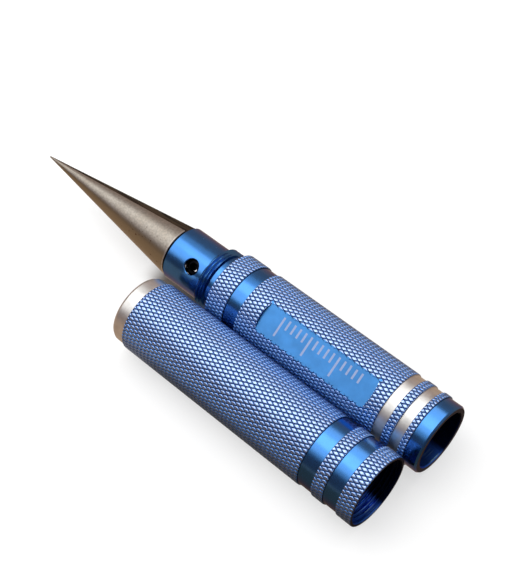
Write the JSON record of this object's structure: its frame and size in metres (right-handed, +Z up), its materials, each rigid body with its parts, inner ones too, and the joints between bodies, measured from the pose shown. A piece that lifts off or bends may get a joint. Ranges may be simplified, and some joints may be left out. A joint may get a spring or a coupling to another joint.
{
  "type": "tapered hole reamer",
  "caption": "Hand reamer with a conical single-flute blade in a knurled anodised handle, and a knurled screw-on cap laid beside it.",
  "frame": {"origin": "middle of the box around the reamer and its cap, on the surface that both lie on", "axes": "+X from the blade's point towards the handle's open end, -Y towards the cap, +Z up"},
  "size_m": [0.1292, 0.0374, 0.0186],
  "materials": {
    "blue_anodised": "satin anodised",
    "blue_anodised_cap": "satin anodised",
    "ground_steel": "ground",
    "black_oxide": "black oxide"
  },
  "bodies": {
    "handle": {"handle": "blue_anodised"},
    "blade": {"reamer_blade": "ground_steel"},
    "screw": {"set_screw": "black_oxide"},
    "cap": {"cap": "blue_anodised_cap"}
  },
  "joints": [
    {"name": "cap_draw", "type": "slide", "parent": "handle", "child": "cap", "axis": [-1, 0, 0], "range_m": [0, 0.13]},
    {"name": "blade_draw", "type": "slide", "parent": "handle", "child": "blade", "axis": [-1, 0, 0], "range_m": [0, 0.0175]},
    {"name": "screw_out", "type": "slide", "parent": "handle", "child": "screw", "axis": [0, -0.6018, 0.7986], "range_m": [0, 0.0045]}
  ]
}
